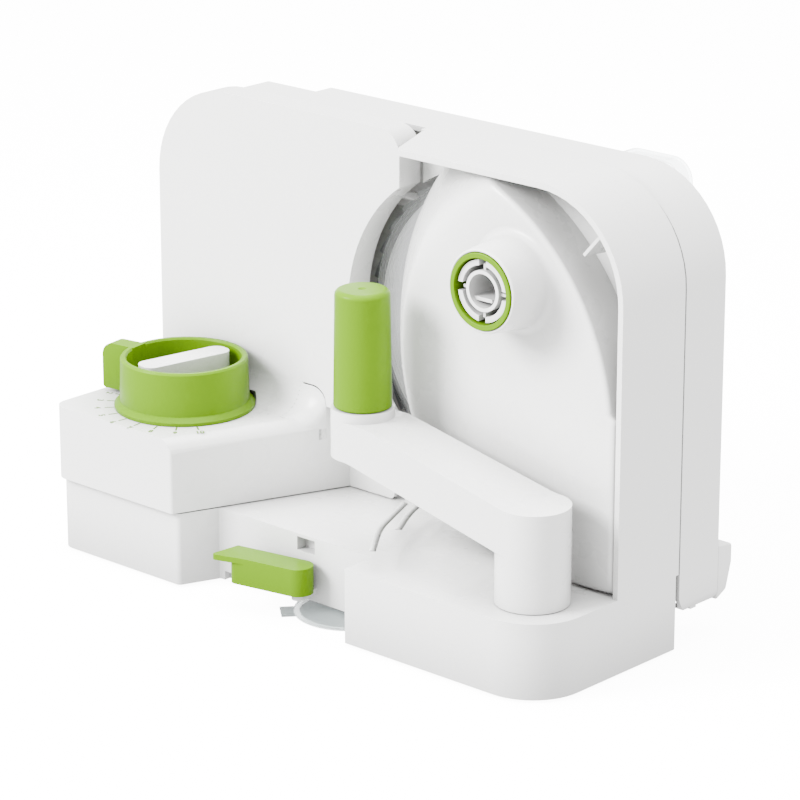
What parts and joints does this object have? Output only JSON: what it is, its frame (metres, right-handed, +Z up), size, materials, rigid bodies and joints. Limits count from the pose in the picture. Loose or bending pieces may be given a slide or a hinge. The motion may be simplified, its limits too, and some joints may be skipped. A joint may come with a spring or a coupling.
{
  "type": "rotary food slicer",
  "caption": "Hand-cranked rotary food slicer in white and green plastic with a serrated disc blade, thickness dial, removable crank, folding food tray and suction foot",
  "frame": {"origin": "middle of the footprint, on the table", "axes": "+X to the right along the food stroke as seen from the crank side, +Y from the crank side to the food side, +Z up"},
  "size_m": [0.338, 0.1574, 0.2455],
  "materials": {
    "white_plastic": "smooth glossy white moulding",
    "green_plastic": "smooth glossy lime green moulding",
    "grey_plastic": "satin grey moulding",
    "clear_plastic": "clear polished moulding",
    "clear_rubber": "translucent grey soft rubber",
    "foot_rubber": "matt dark rubber",
    "blade_steel": "circular brushed stainless steel",
    "steel": "plain bright steel"
  },
  "bodies": {
    "base": {"base_shell": "white_plastic", "left_underplate": "white_plastic", "right_underplate": "white_plastic", "base_screws": "steel", "foot_1": "foot_rubber", "foot_2": "foot_rubber", "foot_3": "foot_rubber", "foot_4": "foot_rubber", "housing": "white_plastic", "blade_guard": "white_plastic", "guard_screws": "steel", "gear_plate": "grey_plastic", "drive_bush": "steel", "boss_ring": "green_plastic", "blade_axle": "steel", "slide_rails": "grey_plastic", "dial_rack": "grey_plastic", "hinge_lugs": "white_plastic", "hinge_pin": "steel", "lever_pivot": "steel", "suction_cup": "clear_rubber"},
    "fence": {"fence": "white_plastic", "fence_face": "white_plastic", "slide_plate": "white_plastic"},
    "dial": {"dial_ring": "green_plastic", "dial_grip": "white_plastic", "dial_spindle": "grey_plastic", "dial_pinion": "grey_plastic", "dial_screw": "steel"},
    "blade": {"blade": "blade_steel", "blade_gear": "white_plastic", "blade_cap": "blade_steel", "blade_screws": "steel"},
    "drive": {"drive_gear": "white_plastic", "drive_socket": "white_plastic", "drive_screw": "steel"},
    "crank": {"crank_arm": "white_plastic", "crank_plug": "white_plastic", "crank_screw": "steel", "grip_pin": "steel"},
    "grip": {"grip_sleeve": "green_plastic"},
    "tray": {"tray": "white_plastic", "tray_foot": "white_plastic", "carriage_stop": "grey_plastic"},
    "carriage": {"carriage": "white_plastic"},
    "finger_guard": {"finger_guard": "clear_plastic"},
    "lever": {"suction_lever": "green_plastic", "lever_peg": "steel"},
    "wedge": {"lift_wedge": "grey_plastic"},
    "stem": {"cup_stem": "grey_plastic"}
  },
  "joints": [
    {"name": "fence_slide", "type": "slide", "parent": "base", "child": "fence", "axis": [0, -1, 0], "range_m": [-0.0021, 0.0119]},
    {"name": "dial_turn", "type": "hinge", "parent": "fence", "child": "dial", "pos_m": [-0.116, -0.0267, 0.082], "axis": [0, 0, 1], "range_deg": [-24.36, 136.66]},
    {"name": "blade_spin", "type": "hinge", "parent": "base", "child": "blade", "pos_m": [0.055, 0.0248, 0.144], "axis": [0, 1, 0], "continuous": true},
    {"name": "drive_spin", "type": "hinge", "parent": "base", "child": "drive", "pos_m": [0.10048, -0.0102, 0.19044], "axis": [0, 1, 0], "continuous": true},
    {"name": "crank_lift", "type": "slide", "parent": "base", "child": "crank", "axis": [0, 0, 1], "range_m": [0, 0.03]},
    {"name": "grip_spin", "type": "hinge", "parent": "crank", "child": "grip", "pos_m": [0.026, -0.0402, 0.14], "axis": [0, 0, 1], "continuous": true},
    {"name": "tray_fold", "type": "hinge", "parent": "base", "child": "tray", "pos_m": [0, 0.0504, 0.0306], "axis": [1, 0, 0], "range_deg": [-90, 0]},
    {"name": "carriage_slide", "type": "slide", "parent": "tray", "child": "carriage", "axis": [1, 0, 0], "range_m": [0, 0.12]},
    {"name": "guard_lift", "type": "slide", "parent": "tray", "child": "finger_guard", "axis": [0, 1, 0], "range_m": [0, 0.03]},
    {"name": "lever_swing", "type": "hinge", "parent": "base", "child": "lever", "pos_m": [-0.0025, -0.0584, 0.022], "axis": [0, 0, 1], "range_deg": [0, 75]},
    {"name": "wedge_slide", "type": "slide", "parent": "base", "child": "wedge", "axis": [0, -1, 0], "range_m": [0, 0.01116]},
    {"name": "stem_lift", "type": "slide", "parent": "base", "child": "stem", "axis": [0, 0, 1], "range_m": [0, 0.0031]}
  ],
  "couplings": [
    {"joint": "dial_turn", "follows": "fence_slide", "rad_per_m": 200},
    {"joint": "drive_spin", "follows": "blade_spin", "ratio": -1.5},
    {"joint": "wedge_slide", "follows": "lever_swing", "m_per_rad": 0.008371},
    {"joint": "stem_lift", "follows": "lever_swing", "m_per_rad": 0.002292}
  ]
}
